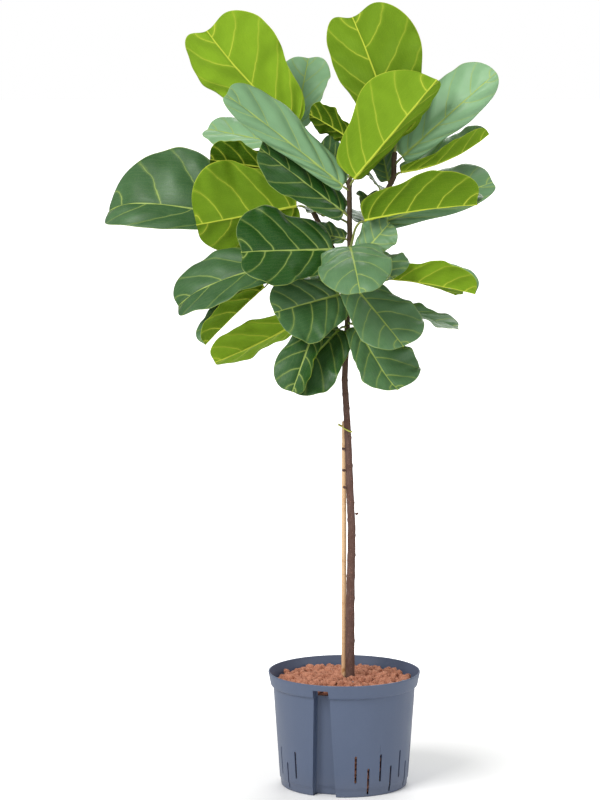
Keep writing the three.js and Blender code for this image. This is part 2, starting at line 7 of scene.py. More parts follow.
import bpy
import numpy as np
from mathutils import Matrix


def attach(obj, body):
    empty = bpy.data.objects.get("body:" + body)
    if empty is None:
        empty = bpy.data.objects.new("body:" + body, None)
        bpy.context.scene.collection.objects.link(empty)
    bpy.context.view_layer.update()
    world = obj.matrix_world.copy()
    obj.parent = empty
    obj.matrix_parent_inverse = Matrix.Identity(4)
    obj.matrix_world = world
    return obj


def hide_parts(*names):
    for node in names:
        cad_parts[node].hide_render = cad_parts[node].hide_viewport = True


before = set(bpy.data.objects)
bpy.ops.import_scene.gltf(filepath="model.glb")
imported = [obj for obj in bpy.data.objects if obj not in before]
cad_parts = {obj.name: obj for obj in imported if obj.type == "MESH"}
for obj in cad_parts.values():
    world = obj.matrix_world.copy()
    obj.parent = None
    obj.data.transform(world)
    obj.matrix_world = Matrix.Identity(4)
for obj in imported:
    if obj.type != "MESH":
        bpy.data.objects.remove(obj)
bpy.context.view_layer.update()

# ---------------------------------------------------------------- camera and light
# A small studio: a pale floor that runs out of sight, a broad soft lamp high on the left of the
# camera, a weaker one on the right, one high up behind, and an even pale sky all round.
scene = bpy.context.scene


def looking_at(piece, target):
    """Turns a lamp or camera so that its -Z axis points at the target."""
    way = np.array(target) - np.array(piece.location)
    piece.rotation_euler = (math.atan2(math.hypot(way[0], way[1]), -way[2]), 0.0,
                            math.atan2(way[1], way[0]) - math.pi / 2)


def soft_lamp(name, place, target, size, power, colour):
    """A square area lamp at a place, facing a target."""
    lamp = bpy.data.lights.new(name, "AREA")
    lamp.shape = "SQUARE"
    lamp.size = size
    lamp.energy = power
    lamp.color = colour
    piece = bpy.data.objects.new(name, lamp)
    piece.location = place
    looking_at(piece, target)
    scene.collection.objects.link(piece)


camera = bpy.data.objects.new("camera", bpy.data.cameras.new("camera"))
camera.location = (-0.0728, -7.0, 1.697)
camera.data.sensor_width = 36.0
camera.data.lens = 195.2
camera.data.clip_end = 60.0
looking_at(camera, (-0.0728, 0.0, 0.6404))
scene.collection.objects.link(camera)
scene.camera = camera

soft_lamp("key_lamp", (-2.2, -2.6, 3.4), (0.0, 0.0, 0.8), 2.2, 150, (1.0, 0.99, 0.97))
soft_lamp("fill_lamp", (2.8, -2.0, 1.6), (0.0, 0.0, 0.7), 2.4, 26, (0.95, 0.98, 1.0))
soft_lamp("back_lamp", (0.6, 2.6, 3.0), (0.0, 0.0, 0.9), 2.0, 55, (1.0, 1.0, 1.0))

# the sky is white where the camera sees it and dimmer as a light
sky = bpy.data.worlds.new("studio_sky")
sky.use_nodes = True
tree = sky.node_tree
sky_light = tree.nodes["Background"]
sky_light.inputs["Color"].default_value = (1.0, 1.0, 1.0, 1.0)
sight = tree.nodes.new("ShaderNodeLightPath")
level = tree.nodes.new("ShaderNodeMath")
level.operation = "MULTIPLY_ADD"
level.inputs[1].default_value = level.inputs[2].default_value = 0.5
tree.links.new(sight.outputs["Is Camera Ray"], level.inputs[0])
tree.links.new(level.outputs[0], sky_light.inputs["Strength"])
scene.world = sky
scene.view_settings.view_transform = "Standard"


def new_piece(name, points, faces, smooth_angle=40.0, paint=None, **fields):
    """Makes a mesh object from points (n, 3) and four-cornered faces (m, 4).

    Points in the same place are welded, so seams and poles close; a face with two corners in one
    place becomes a triangle. If the enclosed volume (a sixth of the sum of a . (b x c) over the
    triangles) comes out negative, every face is turned round. `paint` gives each face the number
    of its material; `fields` are named values per point.
    """
    points = np.asarray(points, dtype=np.float64).reshape(-1, 3)
    faces = np.asarray(faces).reshape(-1, 4)
    paint = np.asarray(np.zeros(len(faces)) if paint is None else paint, dtype=np.int32)
    _, first, welded = np.unique(np.round(points * 1e7).astype(np.int64), axis=0,
                                 return_index=True, return_inverse=True)
    points, faces = points[first], welded.reshape(-1)[faces]
    same = faces == np.roll(faces, -1, axis=1)
    whole = ~same.any(axis=1)
    quads = faces[whole]
    threes = np.concatenate([np.delete(faces[same[:, k]], k, axis=1) for k in range(4)])
    three_paint = np.concatenate([paint[same[:, k]] for k in range(4)])
    real = (threes != np.roll(threes, -1, axis=1)).all(axis=1)
    threes, three_paint = threes[real], three_paint[real]
    halves = np.concatenate([quads[:, :3], quads[:, [0, 2, 3]], threes])
    a, b, c = (points[halves[:, k]] for k in range(3))
    if np.einsum("ij,ij->", a, np.cross(b, c)) < 0:
        quads, threes = quads[:, ::-1], threes[:, ::-1]
    mesh = bpy.data.meshes.new(name)
    mesh.from_pydata(points.tolist(), [], quads.tolist() + threes.tolist())
    mesh.polygons.foreach_set("material_index", np.concatenate([paint[whole], three_paint]))
    for field, values in fields.items():
        values = np.asarray(values, dtype=np.float32)
        kind, key = ("FLOAT", "value") if values.ndim == 1 else ("FLOAT_VECTOR", "vector")
        mesh.attributes.new(field, kind, "POINT").data.foreach_set(key, values[first].ravel())
    mesh.update(calc_edges=True)
    mesh.validate()
    mesh.shade_smooth()
    mesh.set_sharp_from_angle(angle=math.radians(smooth_angle))
    piece = bpy.data.objects.new(name, mesh)
    scene.collection.objects.link(piece)
    return piece


def grid_faces(rows, columns, closed=False):
    """Corner numbers of the cells of a grid of rows x columns points, wrapped round if closed."""
    i = np.arange(rows - 1)[:, None]
    j = np.arange(columns if closed else columns - 1)[None, :]
    right = (j + 1) % columns
    cells = [i * columns + j, i * columns + right, (i + 1) * columns + right, (i + 1) * columns + j]
    return np.stack(cells, axis=-1).reshape(-1, 4)


class Finish:
    """A procedural material: each method adds one node and gives back its output."""

    def __init__(self, name):
        self.material = bpy.data.materials.new(name)
        self.material.use_nodes = True
        self.tree = self.material.node_tree
        self.shader = self.tree.nodes["Principled BSDF"]

    def node(self, kind, settings=None, **inputs):
        """Adds a node; inputs, by name or by number as i0, i1, are values or nodes' outputs."""
        node = self.tree.nodes.new(kind)
        for key, value in (settings or {}).items():
            setattr(node, key, value)
        for key, value in inputs.items():
            self.give(node.inputs[int(key[1:])] if key[1:].isdigit() else node.inputs[key], value)
        return node

    def give(self, socket, value):
        """Links an output to a socket, or sets the socket to a number or colour."""
        if isinstance(value, bpy.types.NodeSocket):
            self.tree.links.new(value, socket)
        else:
            socket.default_value = value

    def place(self):
        """Object coordinates."""
        return self.node("ShaderNodeTexCoord").outputs["Object"]

    def field(self, name):
        """A named value of the mesh, as a vector."""
        return self.node("ShaderNodeAttribute", {"attribute_name": name}).outputs["Vector"]

    def parts(self, vector):
        """The three parts of a vector."""
        return self.node("ShaderNodeSeparateXYZ", Vector=vector).outputs

    def sum(self, operation, a, b=0.0, c=0.0, clamp=False):
        """One step of arithmetic."""
        return self.node("ShaderNodeMath", {"operation": operation, "use_clamp": clamp},
                         i0=a, i1=b, i2=c).outputs[0]

    def times(self, a, b):
        """Product of two values."""
        return self.sum("MULTIPLY", a, b)

    def most(self, a, b):
        """The larger of two values."""
        return self.sum("MAXIMUM", a, b)

    def tone(self):
        """The mesh's value between 0 and 1 from dark to light: the clay granules' own tone, and on
        the leaves partly their own colour and mostly painted light.
        """
        return self.node("ShaderNodeAttribute", {"attribute_name": "tone"}).outputs["Fac"]

    def stretched(self, vector, scale):
        """A vector with its three parts scaled."""
        return self.node("ShaderNodeMapping", Vector=vector, Scale=scale).outputs[0]

    def noise(self, vector, scale, detail=3.0, roughness=0.55):
        """Cloudy noise between 0 and 1."""
        return self.node("ShaderNodeTexNoise", Vector=vector, Scale=scale, Detail=detail,
                         Roughness=roughness, Distortion=0.0).outputs[0]

    def cells(self, vector, scale, feature="F1"):
        """Distance to the nearest cell centre, or to the nearest cell edge."""
        return self.node("ShaderNodeTexVoronoi", {"feature": feature}, Vector=vector, Scale=scale,
                         Randomness=1.0).outputs["Distance"]

    def between(self, value, low, high, to_low=0.0, to_high=1.0):
        """A smooth step: to_low up to `low`, to_high from `high` on."""
        node = self.node("ShaderNodeMapRange", {"interpolation_type": "SMOOTHSTEP", "clamp": True})
        for socket, given in zip(("Value", "From Min", "From Max", "To Min", "To Max"),
                                 (value, low, high, to_low, to_high)):
            self.give(node.inputs[socket], given)
        return node.outputs[0]

    def blend(self, share, a, b):
        """Colour a where share is 0 and colour b where it is 1."""
        node = self.node("ShaderNodeMix", {"data_type": "RGBA", "clamp_factor": True})
        for number, given in ((0, share), (6, a), (7, b)):
            self.give(node.inputs[number], (*given, 1.0) if isinstance(given, tuple) else given)
        return node.outputs[2]

    def done(self, colour, roughness, height=None, bump=0.3, depth=0.001, **plain):
        """Joins colour, roughness and bump height to the shader and sets its plain sockets."""
        self.give(self.shader.inputs["Base Color"], colour)
        self.give(self.shader.inputs["Roughness"], roughness)
        if height is not None:
            relief = self.node("ShaderNodeBump", Height=height, Strength=bump, Distance=depth)
            self.give(self.shader.inputs["Normal"], relief.outputs[0])
        for key, value in plain.items():
            self.shader.inputs[key.replace("_", " ")].default_value = value
        return self.material


# the floor: a wide disc, r from 0 to 14 m, turned once round; away from the pot it glows white
reach, turn = np.meshgrid([0.0, 2.0, 6.0, 14.0], np.linspace(0, 2 * np.pi, 65), indexing="ij")
floor_points = np.stack([reach * np.cos(turn), reach * np.sin(turn), 0 * reach], axis=-1)
floor = new_piece("studio_floor", floor_points, grid_faces(4, 65))
pale = Finish("pale_floor")
far = pale.node("ShaderNodeVectorMath", {"operation": "LENGTH"}, i0=pale.place()).outputs["Value"]
seen = pale.node("ShaderNodeLightPath").outputs["Is Camera Ray"]
pale.give(pale.shader.inputs["Emission Color"], (1.0, 1.0, 1.0, 1.0))
pale.give(pale.shader.inputs["Emission Strength"], pale.times(seen, pale.between(far, 0.25, 1.2)))
floor.data.materials.append(pale.done(
    pale.blend(pale.noise(pale.place(), 1.5), (0.93, 0.93, 0.93), (0.96, 0.96, 0.96)),
    pale.between(pale.noise(pale.place(), 3.0), 0.0, 1.0, 0.65, 0.8)))

# ---------------------------------------------------------------- pot
# A culture pot, injection moulded in blue-grey polypropylene 2.4 mm thick, open at the top, with
# a recess down the front for a water level stick, a flared band under the lip, a slight step at
# the foot and two staggered rows of drainage slots.
WALL = 0.0024
CHANNEL_HEADING = math.radians(-19)
channel_out = np.array([math.sin(CHANNEL_HEADING), -math.cos(CHANNEL_HEADING)])
channel_right = np.array([math.cos(CHANNEL_HEADING), math.sin(CHANNEL_HEADING)])
CHANNEL_DEPTH, CHANNEL_TOP = 0.018, 0.180
SLOT_HALF = math.degrees(0.0019 / 0.108)
upper_slots = np.concatenate([28.5 + 23.3 * np.arange(7), 331.5 - 23.3 * np.arange(7)])
lower_slots = 28.5 + 23.3 * (np.arange(13) + 0.5)
UPPER_ENDS, LOWER_ENDS, WINDOW_ENDS = (0.024, 0.070), (0.004, 0.048), (0.168, 0.178)

# heights and outside radii of the profile, from the foot to the lip
pot_profile = np.array([
    [0, 101.6], [0.4, 102.5], [1, 103.1], [1.5, 103.5], [4, 103.9], [5.5, 104.0], [8, 104.3],
    [12, 104.7], [13, 105.3], [14, 105.9], [18, 106.3], [24, 106.7], [25.5, 106.8], [36, 107.6],
    [46.5, 108.3], [48, 108.4], [59, 109.2], [68.5, 109.9], [70, 110.0], [84, 111.0], [100, 112.1],
    [116, 113.2], [132, 114.4], [148, 115.5], [158, 116.2], [164, 116.6], [166, 116.8],
    [167, 119.4], [168, 120.6], [169.5, 121.1], [174, 122.0], [178, 122.8], [179.8, 123.2],
    [180.2, 123.3], [182.2, 123.7], [182.6, 123.8], [186, 124.5], [188.3, 125.0],
    [189.2, 124.9], [189.8, 124.6], [190, 124.2],
]) / 1000
pot_z, pot_r = pot_profile.T
arc = np.unique(np.round(np.concatenate(
    [np.arange(18.0, 342.1, 3.0)]
    + [group + step for group in (upper_slots, lower_slots)
       for step in (-SLOT_HALF - 0.4, -SLOT_HALF, 0.0, SLOT_HALF, SLOT_HALF + 0.4)]), 3))
arc = arc[(arc >= 18) & (arc <= 342)]
arc = arc[np.concatenate([[True], np.diff(arc) > 0.15])]
channel_turn = np.radians([0, 0.4, 2, 6, 12, 20, 28, 36, 44, 52, 59.2, 68, 77, 90,
                           103, 112, 120.8, 128, 136, 144, 152, 160, 168, 174, 178, 179.6, 180])


def pot_ring(z, radius, depth, grow, arc_turn):
    """Horizontal sections of the pot wall, one row of points per height.

    Most of a section is the circle (R sin h, -R cos h). Between the mouth's corners it leaves the
    circle along a squared-off half ellipse: with a from 0 to pi, the place across the mouth is
    -half * sign(cos a) * |cos a|^(1/3), and the distance from the axis is the circle's
    less depth * (sin a)^(1/3). `grow` widens the recess on both sides, for its inner face.
    """
    z, radius, depth = (np.asarray(v, dtype=float)[:, None] for v in (z, radius, depth))
    half = 0.020 - 0.007 * np.clip(z / CHANNEL_TOP, 0, 1) + grow
    fill = np.array([[0.3, 0.65]])
    low, high = -np.arcsin(half / radius), np.arcsin(half / radius)
    edge = math.radians(18)
    turns = [arc_turn, -edge + fill * (low + edge), high + fill * (edge - high)]
    rings = [np.stack([radius * np.sin(CHANNEL_HEADING + t), -radius * np.cos(CHANNEL_HEADING + t),
                       z + 0 * t], axis=-1) for t in turns]
    a = channel_turn[None, :]
    across = -half * np.sign(np.cos(a)) * np.abs(np.cos(a)) ** (1 / 3)
    out = np.sqrt(radius ** 2 - across ** 2) - depth * np.clip(np.sin(a), 0, 1) ** (1 / 3)
    recess = out[..., None] * channel_out + across[..., None] * channel_right
    recess = np.concatenate([recess, (z + 0 * across)[..., None]], axis=-1)
    return np.concatenate([rings[0], rings[1], recess, rings[2]], axis=1)


# the slots' ends are narrower than the slots, so their corners are drawn in
arc_turn = np.tile(arc, (len(pot_z), 1))
open_cells = np.zeros((len(pot_z) - 1, len(arc) + 4 + len(channel_turn)), dtype=bool)
for group, ends in ((upper_slots, UPPER_ENDS), (lower_slots, LOWER_ENDS)):
    bottom, top = (int(np.argmin(np.abs(pot_z - end))) for end in ends)
    for middle in group:
        first, last = (int(np.argmin(np.abs(arc - middle - s * SLOT_HALF))) for s in (-1, 1))
        open_cells[bottom:top, first:last] = True
        for row in (bottom, top):
            arc_turn[row, [first, last]] = middle + 0.45 * (arc[[first, last]] - middle)
arc_turn = np.radians(arc_turn)
head = len(arc) + 2
window = np.abs(channel_turn - np.pi / 2) < np.radians(31.5)
first, last = head + np.flatnonzero(window)[[0, -1]]
bottom, top = (int(np.argmin(np.abs(pot_z - end))) for end in WINDOW_ENDS)
open_cells[bottom:top, first:last] = True

inner_r = pot_r - WALL
inner_r[pot_z < WALL] = np.interp(WALL, pot_z, pot_r) - WALL
inner_r[-3:] = pot_r[-4] - WALL + np.array([0.0001, 0.0004, 0.0009])
outer = pot_ring(pot_z, pot_r, np.where(pot_z < CHANNEL_TOP, CHANNEL_DEPTH, 0), 0.0, arc_turn)
inner = pot_ring(np.maximum(pot_z, WALL), inner_r,
                 np.where(pot_z < CHANNEL_TOP + WALL, CHANNEL_DEPTH, 0), WALL, arc_turn)
rows, columns = outer.shape[:2]
shift = rows * columns
cells = grid_faces(rows, columns, closed=True)
kept = cells[~open_cells.ravel()]


def slot_walls(is_open):
    """Faces through the wall round every opening: where a closed cell meets an open one, the edge
    between them is carried from the outer sheet to the inner one."""
    number = np.arange(shift).reshape(rows, columns)
    here, above, after = number[:-1], number[1:], np.roll(number, -1, axis=1)[:-1]
    before = np.roll(is_open, 1, axis=1)
    below = np.vstack([np.zeros(columns, bool), is_open[:-1]])
    walls = []
    for found, start, end in ((is_open & ~before, above, here), (before & ~is_open, here, above),
                              (is_open & ~below, here, after), (below & ~is_open, after, here)):
        a, b = start[found], end[found]
        walls.append(np.stack([a, b, b + shift, a + shift], axis=-1))
    return np.concatenate(walls)


j = np.arange(columns)
right = (j + 1) % columns
lip = (rows - 1) * columns
lip_faces = np.stack([lip + j, lip + right, lip + right + shift, lip + j + shift], axis=-1)
under, inside = np.full(columns, 2 * shift), np.full(columns, 2 * shift + 1)
foot_faces = np.stack([under, right, j, j], axis=-1)
floor_faces = np.stack([inside, shift + j, shift + right, shift + right], axis=-1)
pot = new_piece(
    "culture_pot",
    np.concatenate([outer.reshape(-1, 3), inner.reshape(-1, 3), [[0, 0, 0], [0, 0, WALL]]]),
    np.concatenate([kept, kept[:, ::-1] + shift, slot_walls(open_cells), lip_faces, foot_faces,
                    floor_faces]),
    smooth_angle=35)

moulded = Finish("moulded_polypropylene")
at = moulded.place()
speckle = moulded.noise(at, 900.0, 2.0)
cloud = moulded.noise(at, 14.0, 4.0)
height = moulded.parts(at)["Z"]
dust = moulded.between(height, 0.0, 0.05, 0.35, 0.0)
blue = moulded.blend(cloud, (0.060, 0.086, 0.155), (0.082, 0.112, 0.190))
blue = moulded.blend(moulded.times(speckle, 0.35), blue, (0.13, 0.16, 0.22))
blue = moulded.blend(moulded.times(dust, cloud), blue, (0.15, 0.15, 0.17))
pot.data.materials.append(moulded.done(
    blue, moulded.between(cloud, 0.2, 0.8, 0.38, 0.52),
    moulded.sum("ADD", moulded.noise(at, 1600.0, 2.0), moulded.times(cloud, 0.8)),
    bump=0.25, depth=0.0003, Specular_IOR_Level=0.45))
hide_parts("pot")
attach(pot, "root")

# ---------------------------------------------------------------- clay granules
# The plant stands in fired clay granules, 8 to 18 mm lumps of red-brown clay with a few grey
# chips, poured in loose up to a finger's width under the lip, so they also show at the slots.
chance = np.random.default_rng(7)


def bed_level(x, y):
    """Height of the bed: 180 mm at the middle, falling with the square of the distance to 174."""
    return 0.180 - 0.006 * np.clip(np.hypot(x, y) / 0.119, 0, 1) ** 2


def pebbles(centres, sizes):
    """One lump per centre: a sphere of 7 x 9 directions d, stretched along three random axes, with
    radius size * (1 + 0.16 sin(2.4 d.k + p) + 0.12 sin(4.3 d.l + q) + 0.08 sin(8 d.m + s))."""
    count = len(centres)
    down, turn = np.meshgrid(np.linspace(0, np.pi, 7), np.linspace(0, 2 * np.pi, 10)[:-1],
                             indexing="ij")
    d = np.stack([np.sin(down) * np.cos(turn), np.sin(down) * np.sin(turn), np.cos(down)], axis=-1)
    d = d.reshape(-1, 3)
    shape = np.ones((count, len(d)))
    for step, (amount, pitch) in enumerate(((0.16, 2.4), (0.12, 4.3), (0.08, 8.0))):
        way = chance.normal(size=(count, 3))
        way /= np.linalg.norm(way, axis=1, keepdims=True)
        shape += amount * np.sin(pitch * way @ d.T + chance.uniform(0, 6.3, (count, 1)))
    axes = np.linalg.qr(chance.normal(size=(count, 3, 3)))[0]
    stretch = chance.uniform(0.72, 1.05, (count, 1, 3))
    points = d[None] * shape[..., None] * stretch * np.asarray(sizes)[:, None, None]
    points = np.einsum("nij,nkj->nki", axes, points) + np.asarray(centres)[:, None]
    faces = grid_faces(7, 9, closed=True)[None] + (np.arange(count) * len(d))[:, None, None]
    return points.reshape(-1, 3), faces.reshape(-1, 4), np.repeat(chance.random(count), len(d))


# the top layer: a hexagonal lattice, every place shaken, cleared round the stem, cane and recess
step = 0.0108
i, j = np.meshgrid(np.arange(-13, 14), np.arange(-14, 15), indexing="ij")
x = (i + 0.5 * (j % 2)) * step + chance.uniform(-0.003, 0.003, i.shape)
y = j * step * 0.87 + chance.uniform(-0.0025, 0.0025, i.shape)
x, y = x.ravel(), y.ravel()
size = chance.uniform(0.0050, 0.0092, x.size)
across = x * channel_right[0] + y * channel_right[1]
out = x * channel_out[0] + y * channel_out[1]
clear = np.hypot(x, y) < 0.1175 - size
clear &= ~((np.abs(across) < 0.0155 + size) & (out > 0.1168 - CHANNEL_DEPTH - WALL - size))
clear &= np.hypot(x - 0.0092, y) > 0.0076 + 0.7 * size
clear &= np.hypot(x + 0.0005, y - 0.0104) > 0.0043 + 0.7 * size
x, y, size = x[clear], y[clear], size[clear]
z = bed_level(x, y) - 0.5 * size + chance.uniform(-0.004, 0.003, x.size)
top = np.stack([x, y, z], axis=-1)
# behind the slots: a stack of lumps against the inside of the wall
slot_turn = np.concatenate([np.repeat(upper_slots, 6), np.repeat(lower_slots, 6)])
slot_z = np.concatenate([np.tile(np.linspace(0.026, 0.068, 6), len(upper_slots)),
                         np.tile(np.linspace(0.009, 0.046, 6), len(lower_slots))])
slot_size = chance.uniform(0.0042, 0.0058, slot_turn.size)
slot_r = np.interp(slot_z, pot_z, pot_r) - WALL - slot_size * 1.15
slot_turn = np.radians(slot_turn + chance.uniform(-1, 1, slot_turn.size)) + CHANNEL_HEADING
side = np.stack([slot_r * np.sin(slot_turn), -slot_r * np.cos(slot_turn), slot_z], axis=-1)
points, faces, tone = pebbles(np.concatenate([top, side]), np.concatenate([size, slot_size]))
granules = new_piece("clay_granules_loose", points, faces, smooth_angle=70, tone=tone)

# what lies underneath: one lumpy body a few millimetres inside the outermost granules, coloured
# with painted shade
core_z = np.array([0.006, 0.03, 0.06, 0.09, 0.12, 0.15, 0.168])
core_r = np.interp(core_z, pot_z, pot_r) - WALL - 0.006
core = pot_ring(core_z, core_r, np.full(7, CHANNEL_DEPTH), WALL + 0.004,
                np.radians(np.tile(arc, (7, 1))))
inward = np.linspace(1, 0, 9)[1:, None, None]
cap = core[-1][None] * [1, 1, 0] * inward
cap[..., 2] = bed_level(cap[..., 0], cap[..., 1]) - 0.0075
base = core[0][None] * [1, 1, 0] * inward[::-1] + [0, 0, 0.006]
core = np.concatenate([base, core, cap])
core_faces = grid_faces(len(core), core.shape[1], closed=True)
bed = new_piece("clay_bed", core, core_faces, smooth_angle=60)

clay = Finish("fired_clay")
at = clay.place()
kind = clay.tone()
grain = clay.noise(at, 420.0, 5.0, 0.7)
pores = clay.cells(at, 700.0)
red = clay.blend(kind, (0.24, 0.075, 0.038), (0.52, 0.215, 0.130))
red = clay.blend(clay.between(grain, 0.35, 0.7), red, (0.62, 0.30, 0.20))
red = clay.blend(clay.between(pores, 0.28, 0.1, 0.0, 0.8), red, (0.10, 0.028, 0.018))
red = clay.blend(clay.between(kind, 0.985, 0.99), red, (0.20, 0.24, 0.28))
granules.data.materials.append(clay.done(
    red, clay.between(grain, 0.2, 0.8, 0.85, 1.0),
    clay.sum("ADD", grain, clay.times(pores, 0.8)), bump=0.9, depth=0.0012,
    Specular_IOR_Level=0.2))
shade = Finish("clay_in_shade")
at = shade.place()
grain = shade.noise(at, 200.0, 4.0)
lumps = shade.cells(at, 95.0)
# painted shade: the bed's lumps keep the clay's own dark red, and between them it is painted near
# black for the shade under and between the granules
bed.data.materials.append(shade.done(
    shade.blend(lumps, (0.22, 0.07, 0.035), (0.03, 0.012, 0.008)),
    shade.between(grain, 0.0, 1.0, 0.9, 1.0), shade.sum("SUBTRACT", grain, lumps),
    bump=1.0, depth=0.004))
for piece in (granules, bed):
    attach(piece, "root")
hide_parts("clay_granules")

# ---------------------------------------------------------------- stem
# One woody trunk about 15 mm thick with two branches near the top: brown-grey bark with pale
# pores, a ring at every old leaf scar, a few dark snags where twigs were cut, and thinner, darker
# green-brown shoots in the crown.
GRANULE_TOP = 0.180
stem_points = {
    "trunk": [(9, 0, -60), (10, 0, 120), (12, 0, 245), (5, 0, 410), (0, 0, 495), (4, 0, 585),
              (8, 0, 707), (7, 0, 824)],
    "left": [(4, 0, 620), (-16, 28, 700), (-58, 58, 775), (-70, 66, 805), (-69, 70, 882)],
    "right": [(6, 0, 665), (26, 9, 720), (49, 18, 762), (69, 24, 802), (80, 27, 823),
              (80, 30, 850), (82, 30, 866)],
}


def stem_radius(stem, height):
    """Trunk: thins from 7.6 mm with (height / 620 mm)^1.2; shoots: 4.2 mm all the way."""
    if stem != "trunk":
        return 0.0042 + 0 * height
    return 0.0076 - 0.0034 * np.clip(height / 0.62, 0, 1) ** 1.2


def stem_at(stem, height):
    """Middle of a stem at heights above the granules: straight between its chosen points."""
    x, y, z = np.array(stem_points[stem]).T / 1000
    x, y = np.interp(height, z, x), np.interp(height, z, y)
    return np.stack([x, y, GRANULE_TOP + height], axis=-1)


def swept(path, radius, across):
    """A closed bar: round each point c of the path the ring c + radius * (cos(a) A + sin(a) B),
    A the given direction made square to the path, B square to both; both ends are closed flat."""
    path = np.asarray(path, dtype=float)
    along = np.gradient(path, axis=0)
    along /= np.linalg.norm(along, axis=1, keepdims=True)
    a_way = across - (along @ across)[:, None] * along
    a_way /= np.linalg.norm(a_way, axis=1, keepdims=True)
    b_way = np.cross(along, a_way)
    sides = radius.shape[1]
    a = np.linspace(0, 2 * np.pi, sides + 1)[:-1][None, :, None]
    round_it = np.cos(a) * a_way[:, None] + np.sin(a) * b_way[:, None]
    rings = path[:, None] + radius[..., None] * round_it
    first, last = (np.repeat(end, sides, 0)[None] for end in (path[:1], path[-1:]))
    rings = np.concatenate([first, rings, last])
    return rings.reshape(-1, 3), grid_faces(len(path) + 2, sides, closed=True)


def joined(parts):
    """Several (points, faces) pairs as one pair."""
    starts = np.cumsum([0] + [len(points) for points, _ in parts[:-1]])
    return (np.concatenate([points for points, _ in parts]),
            np.concatenate([faces + start for (_, faces), start in zip(parts, starts)]))


# where leaves have been shed: height above the granules in millimetres and heading in degrees
scars = [(60, 80), (96, -60), (131, 60), (168, -100), (203, 90), (236, 50), (262, -60), (291, 20),
         (322, -70), (352, 70), (378, -60), (398, 50), (425, -80), (446, 60), (470, -40),
         (493, 100)]
# and where twigs were cut
snags = [(376, -62), (340, -75), (312, -68), (268, 75)]
bark_parts = []
for stem, points in stem_points.items():
    low, high = points[0][2] / 1000, points[-1][2] / 1000
    height = np.linspace(low, high, 3 + int((high - low) / 0.0022))
    turn = np.linspace(0, 2 * np.pi, 29)[:-1]
    h, a = np.meshgrid(height, turn, indexing="ij")
    radius = stem_radius(stem, h)
    # bark: slow waves up the stem, finer ones round it
    rough = np.sin(95 * h + 2 * a) * np.sin(61 * h - a + 1)
    rough = rough + 0.6 * np.sin(240 * h + 3 * a + 2 * np.sin(70 * h))
    radius = radius * (1 + 0.035 * rough)
    if stem == "trunk":
        for scar, heading in scars:
            facing = 0.5 + 0.5 * np.cos(a - math.radians(heading - 90))
            near = np.exp(-((h - scar / 1000) / 0.0022) ** 2)
            radius = radius + 0.0007 * near * (0.35 + facing ** 2)
        pitch = 0.021
        young = np.clip((h - 0.50) / 0.03, 0, 1)
    else:
        pitch, young = 0.013, 1.0
    off_ring = (((h - low) / pitch) % 1.0 - 0.5) * pitch
    radius = radius + 0.00055 * young * np.exp(-(off_ring / 0.0016) ** 2)
    ends = np.clip((high - height) / 0.004, 0.25, 1)[:, None]
    bark_parts.append(swept(stem_at(stem, height), radius * ends, (1, 0, 0)))
for height, heading in snags:
    way = np.array([math.sin(math.radians(heading)), -math.cos(math.radians(heading)), 0.45])
    along = np.linspace(0.2, 1.0, 7)[:, None]
    path = stem_at("trunk", np.array([height / 1000])) + way * (0.0065 + 0.0055 * along)
    knobbly = 1 + 0.15 * np.sin(3 * np.linspace(0, 2 * np.pi, 13)[:-1])
    thick = (0.0026 - 0.0009 * along) * knobbly[None]
    bark_parts.append(swept(path, thick, (0, 0, 1)))
stem = new_piece("stem_bark", *joined(bark_parts), smooth_angle=50)

bark = Finish("fig_bark")
at = bark.place()
height = bark.parts(at)["Z"]
fibre = bark.noise(bark.stretched(at, (1, 1, 0.16)), 620.0, 5.0, 0.65)
patch = bark.noise(at, 60.0, 4.0)
pore = bark.cells(bark.stretched(at, (1, 1, 0.7)), 330.0)
brown = bark.blend(fibre, (0.030, 0.015, 0.012), (0.235, 0.135, 0.110))
brown = bark.blend(bark.between(patch, 0.42, 0.68), brown, (0.110, 0.055, 0.042))
brown = bark.blend(bark.between(pore, 0.2, 0.08), brown, (0.48, 0.22, 0.16))
shoot = bark.blend(bark.noise(at, 150.0, 4.0), (0.030, 0.014, 0.016), (0.115, 0.085, 0.04))
brown = bark.blend(bark.between(height, 0.60, 0.80), brown, shoot)
stem.data.materials.append(bark.done(
    brown, bark.between(fibre, 0.2, 0.8, 0.95, 0.7),
    bark.sum("SUBTRACT", bark.sum("ADD", fibre, patch), bark.between(pore, 0.2, 0.08)),
    bump=0.8, depth=0.0012, Specular_IOR_Level=0.25))
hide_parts("stem")
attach(stem, "root")

# ---------------------------------------------------------------- support cane
# A straight bamboo cane about 8 mm thick pushed in close behind the trunk, thinner towards the
# top, with a ridge at each node and both ends cut square.
cane_foot = np.array([-0.0005, 0.0104])
nodes = np.array([0.105, 0.2555, 0.372, 0.478, 0.566])
height = np.unique(np.concatenate([np.linspace(0.0705, 0.6035, 60)] + [nodes + s for s in
                                   (-0.004, -0.002, -0.001, 0, 0.001, 0.002, 0.004)]))
h, a = np.meshgrid(height, np.linspace(0, 2 * np.pi, 25)[:-1], indexing="ij")
radius = 0.0041 - 0.0004 * (h - 0.07) / 0.53 + 0.00005 * np.sin(3 * a + 8 * h)
for node in nodes:
    radius = (radius + 0.0004 * np.exp(-((h - node) / 0.0014) ** 2)
              - 0.00025 * np.exp(-((h - node - 0.003) / 0.0015) ** 2))
path = np.stack([cane_foot[0] + 0 * height, cane_foot[1] + 0 * height, height], axis=-1)
cane = new_piece("bamboo_cane", *swept(path, radius, (1, 0, 0)), smooth_angle=50)

